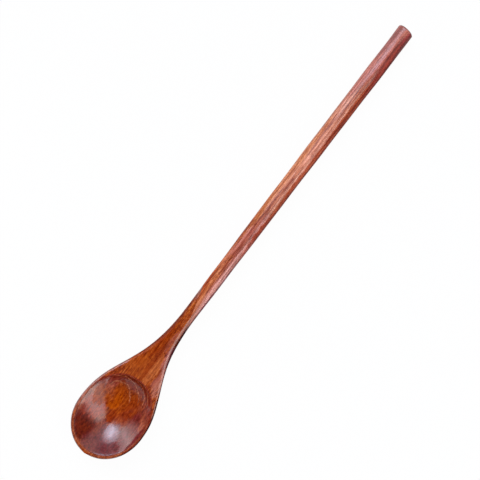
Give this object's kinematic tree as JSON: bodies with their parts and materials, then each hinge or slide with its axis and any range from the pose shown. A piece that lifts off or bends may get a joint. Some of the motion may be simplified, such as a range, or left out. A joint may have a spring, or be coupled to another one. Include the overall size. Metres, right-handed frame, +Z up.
{
  "type": "long-handled spoon",
  "caption": "Slim wooden spoon with a round handle and an oval carved bowl, for stirring, tasting and serving from tall vessels.",
  "frame": {"origin": "on the table top, under the middle of the spoon's bounding box", "axes": "+X along the spoon from the bowl to the handle's free end, +Z up out of the open bowl, +Y to the left when looking along +X"},
  "size_m": [0.33, 0.0466, 0.014],
  "materials": {
    "head_wood": "reddish-brown wood with fine pores under a glossy clear lacquer",
    "handle_wood": "paler reddish-brown wood with straight grain under a semi-gloss clear lacquer"
  },
  "bodies": {
    "root": {"bowl_head": "head_wood", "handle": "handle_wood"}
  },
  "joints": []
}
